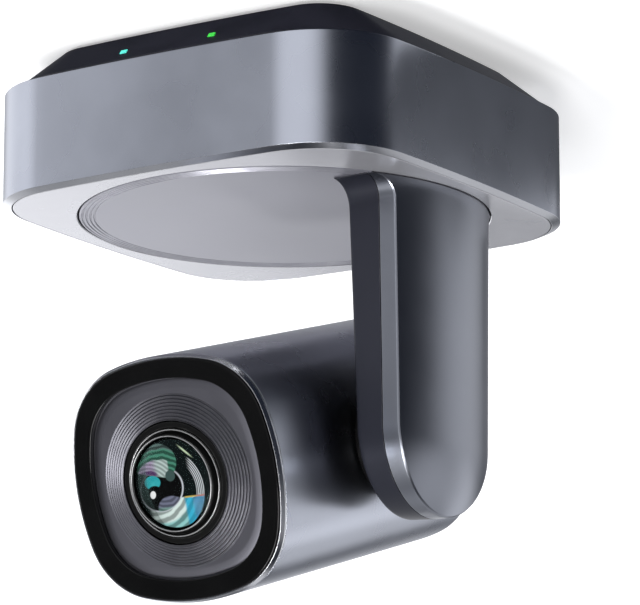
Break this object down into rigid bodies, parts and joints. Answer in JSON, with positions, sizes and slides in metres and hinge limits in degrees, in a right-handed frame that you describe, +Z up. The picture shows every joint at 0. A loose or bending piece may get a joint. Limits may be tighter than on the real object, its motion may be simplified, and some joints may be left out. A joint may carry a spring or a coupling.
{
  "type": "pan-tilt-zoom camera",
  "caption": "Pan-tilt-zoom conference camera: a lens head in a square tube hangs from a side arm on a turntable set into a rounded-square base.",
  "frame": {"origin": "centre of the base footprint, at desk level under the rubber feet, on the pan axis", "axes": "+Z up along the pan axis, -Y the way the camera looks at pan 0, -X the side the arm stands on, +Y the connector side"},
  "size_m": [0.15, 0.15, 0.1847],
  "materials": {
    "satin_grey_metal": "satin grey paint with a fine metallic flake over thin metal",
    "pale_grey_metal": "pale silver-grey satin paint",
    "dark_plastic": "near-black moulded plastic with a fine satin grain",
    "gloss_black": "polished black",
    "lens_surround": "satin dark grey-violet, ridged round the lens",
    "bright_trim": "diamond-cut bright edge",
    "black_metal": "satin black",
    "rubber": "matt black",
    "steel": "zinc-plated",
    "aluminium": "machined",
    "brass": "turned",
    "circuit_board": "green solder mask",
    "white_plastic": "smooth off-white",
    "teal_light": "translucent light pipe, lit teal",
    "green_light": "translucent light pipe, lit green",
    "lens_glass": "coated optical glass"
  },
  "bodies": {
    "base": {"base_housing": "satin_grey_metal", "base_top_plate": "pale_grey_metal", "bottom_cover": "dark_plastic", "rubber_foot_1": "rubber", "rubber_foot_2": "rubber", "rubber_foot_3": "rubber", "rubber_foot_4": "rubber", "tripod_insert": "brass", "status_light_pipe": "teal_light", "power_light_pipe": "green_light", "base_screw_1": "steel", "base_screw_2": "steel", "base_screw_3": "steel", "base_screw_4": "steel", "io_panel": "dark_plastic", "dc_jack": "steel", "hdmi_port": "steel", "usb_port": "steel", "lan_port": "steel", "main_board": "circuit_board", "pan_frame": "steel", "pan_bearing_outer": "steel", "pan_motor": "steel", "pan_motor_bracket": "aluminium", "pan_belt": "rubber"},
    "turntable": {"turntable_disc": "pale_grey_metal", "turntable_hub": "aluminium", "hub_nut": "steel", "pan_pulley": "aluminium", "pan_bearing_inner": "steel", "cable_harness": "rubber", "arm_outer_shell": "satin_grey_metal", "arm_inner_cover": "dark_plastic", "arm_frame": "aluminium", "tilt_bearing_outer": "steel", "tilt_motor": "steel", "tilt_belt": "rubber"},
    "head": {"tilt_hub": "black_metal", "tilt_bearing_inner": "steel", "tilt_pulley": "aluminium", "head_shell": "satin_grey_metal", "head_back_plate": "dark_plastic", "front_rim": "bright_trim", "front_bezel": "gloss_black", "lens_shroud": "lens_surround", "lens_barrel": "black_metal", "outer_lens_ring": "bright_trim", "inner_lens_ring": "bright_trim", "front_glass": "lens_glass", "lens_housing": "black_metal", "lens_mount_plate": "steel", "iris_diaphragm": "black_metal", "sensor_board": "circuit_board"},
    "pan_drive": {"pan_motor_pulley": "brass"},
    "tilt_drive": {"tilt_motor_pulley": "brass"},
    "zoom_group": {"zoom_carriage": "black_metal", "zoom_lens": "lens_glass"},
    "focus_group": {"focus_carriage": "black_metal", "focus_lens": "lens_glass"},
    "button": {"power_button": "white_plastic"}
  },
  "joints": [
    {"name": "pan", "type": "hinge", "parent": "base", "child": "turntable", "pos_m": [0, 0, 0], "axis": [0, 0, 1], "range_deg": [-170, 170]},
    {"name": "tilt", "type": "hinge", "parent": "turntable", "child": "head", "pos_m": [0, 0, 0.1305], "axis": [-1, 0, 0], "range_deg": [-46.5, 73.5]},
    {"name": "pan_motor_spin", "type": "hinge", "parent": "base", "child": "pan_drive", "pos_m": [0, -0.04, 0], "axis": [0, 0, 1], "range_deg": [-680, 680]},
    {"name": "tilt_motor_spin", "type": "hinge", "parent": "turntable", "child": "tilt_drive", "pos_m": [0, 0, 0.0855], "axis": [-1, 0, 0], "range_deg": [-116.25, 183.75]},
    {"name": "zoom_travel", "type": "slide", "parent": "head", "child": "zoom_group", "axis": [0, -0.9588, 0.284], "range_m": [-0.014, 0.013]},
    {"name": "focus_travel", "type": "slide", "parent": "head", "child": "focus_group", "axis": [0, -0.9588, 0.284], "range_m": [-0.007, 0.007]},
    {"name": "button_press", "type": "slide", "parent": "base", "child": "button", "axis": [0, -1, 0], "range_m": [0, 0.0012]}
  ],
  "couplings": [
    {"joint": "pan_motor_spin", "follows": "pan", "ratio": 4},
    {"joint": "tilt_motor_spin", "follows": "tilt", "ratio": 2.5}
  ]
}
